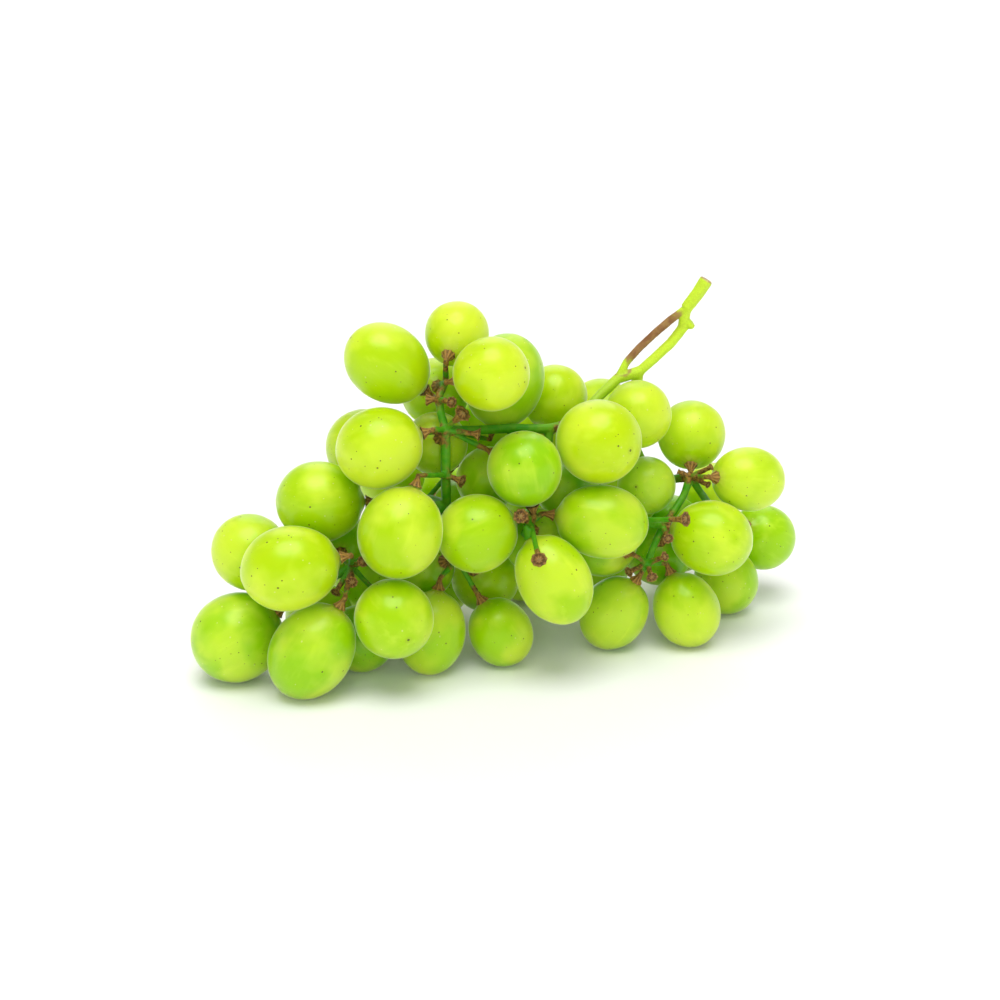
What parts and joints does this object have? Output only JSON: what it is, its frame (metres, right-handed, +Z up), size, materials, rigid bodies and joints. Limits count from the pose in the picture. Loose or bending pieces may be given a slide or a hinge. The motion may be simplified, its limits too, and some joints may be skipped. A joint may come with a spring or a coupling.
{
  "type": "bunch of grapes",
  "caption": "Bunch of pale green grapes lying on its side: oval berries crowd round a branching stem whose forked, cut end stands up at one side.",
  "frame": {"origin": "on the surface the bunch lies on, under the middle of its bounding box", "axes": "+Z up; +X along the bunch, from its tip to the side of the cut stem end; +Y away from the side that faces the viewer in the picture"},
  "size_m": [0.1892, 0.1154, 0.1121],
  "materials": {
    "berry_skin": "thin translucent skin over clear flesh, softly glossy with a faint pale bloom and a few tiny brown specks",
    "stem": "matt green bark that turns brown towards the caps and along one arm of the fork"
  },
  "bodies": {
    "root": {"stem": "stem", "berry_01": "berry_skin", "berry_02": "berry_skin", "berry_03": "berry_skin", "berry_04": "berry_skin", "berry_05": "berry_skin", "berry_06": "berry_skin", "berry_07": "berry_skin", "berry_08": "berry_skin", "berry_09": "berry_skin", "berry_10": "berry_skin", "berry_11": "berry_skin", "berry_12": "berry_skin", "berry_13": "berry_skin", "berry_14": "berry_skin", "berry_15": "berry_skin", "berry_16": "berry_skin", "berry_17": "berry_skin", "berry_18": "berry_skin", "berry_19": "berry_skin", "berry_20": "berry_skin", "berry_21": "berry_skin", "berry_22": "berry_skin", "berry_23": "berry_skin", "berry_24": "berry_skin", "berry_25": "berry_skin", "berry_26": "berry_skin", "berry_27": "berry_skin", "berry_28": "berry_skin", "berry_29": "berry_skin", "berry_30": "berry_skin", "berry_31": "berry_skin", "berry_32": "berry_skin", "berry_33": "berry_skin", "berry_34": "berry_skin", "berry_35": "berry_skin", "berry_36": "berry_skin", "berry_37": "berry_skin", "berry_38": "berry_skin", "berry_39": "berry_skin", "berry_40": "berry_skin", "berry_41": "berry_skin", "berry_42": "berry_skin", "berry_43": "berry_skin", "berry_44": "berry_skin", "berry_45": "berry_skin", "berry_46": "berry_skin", "berry_47": "berry_skin", "berry_48": "berry_skin", "berry_49": "berry_skin", "berry_50": "berry_skin", "berry_51": "berry_skin", "berry_52": "berry_skin", "berry_53": "berry_skin", "berry_54": "berry_skin", "berry_55": "berry_skin", "berry_56": "berry_skin", "berry_57": "berry_skin", "berry_58": "berry_skin"}
  },
  "joints": []
}
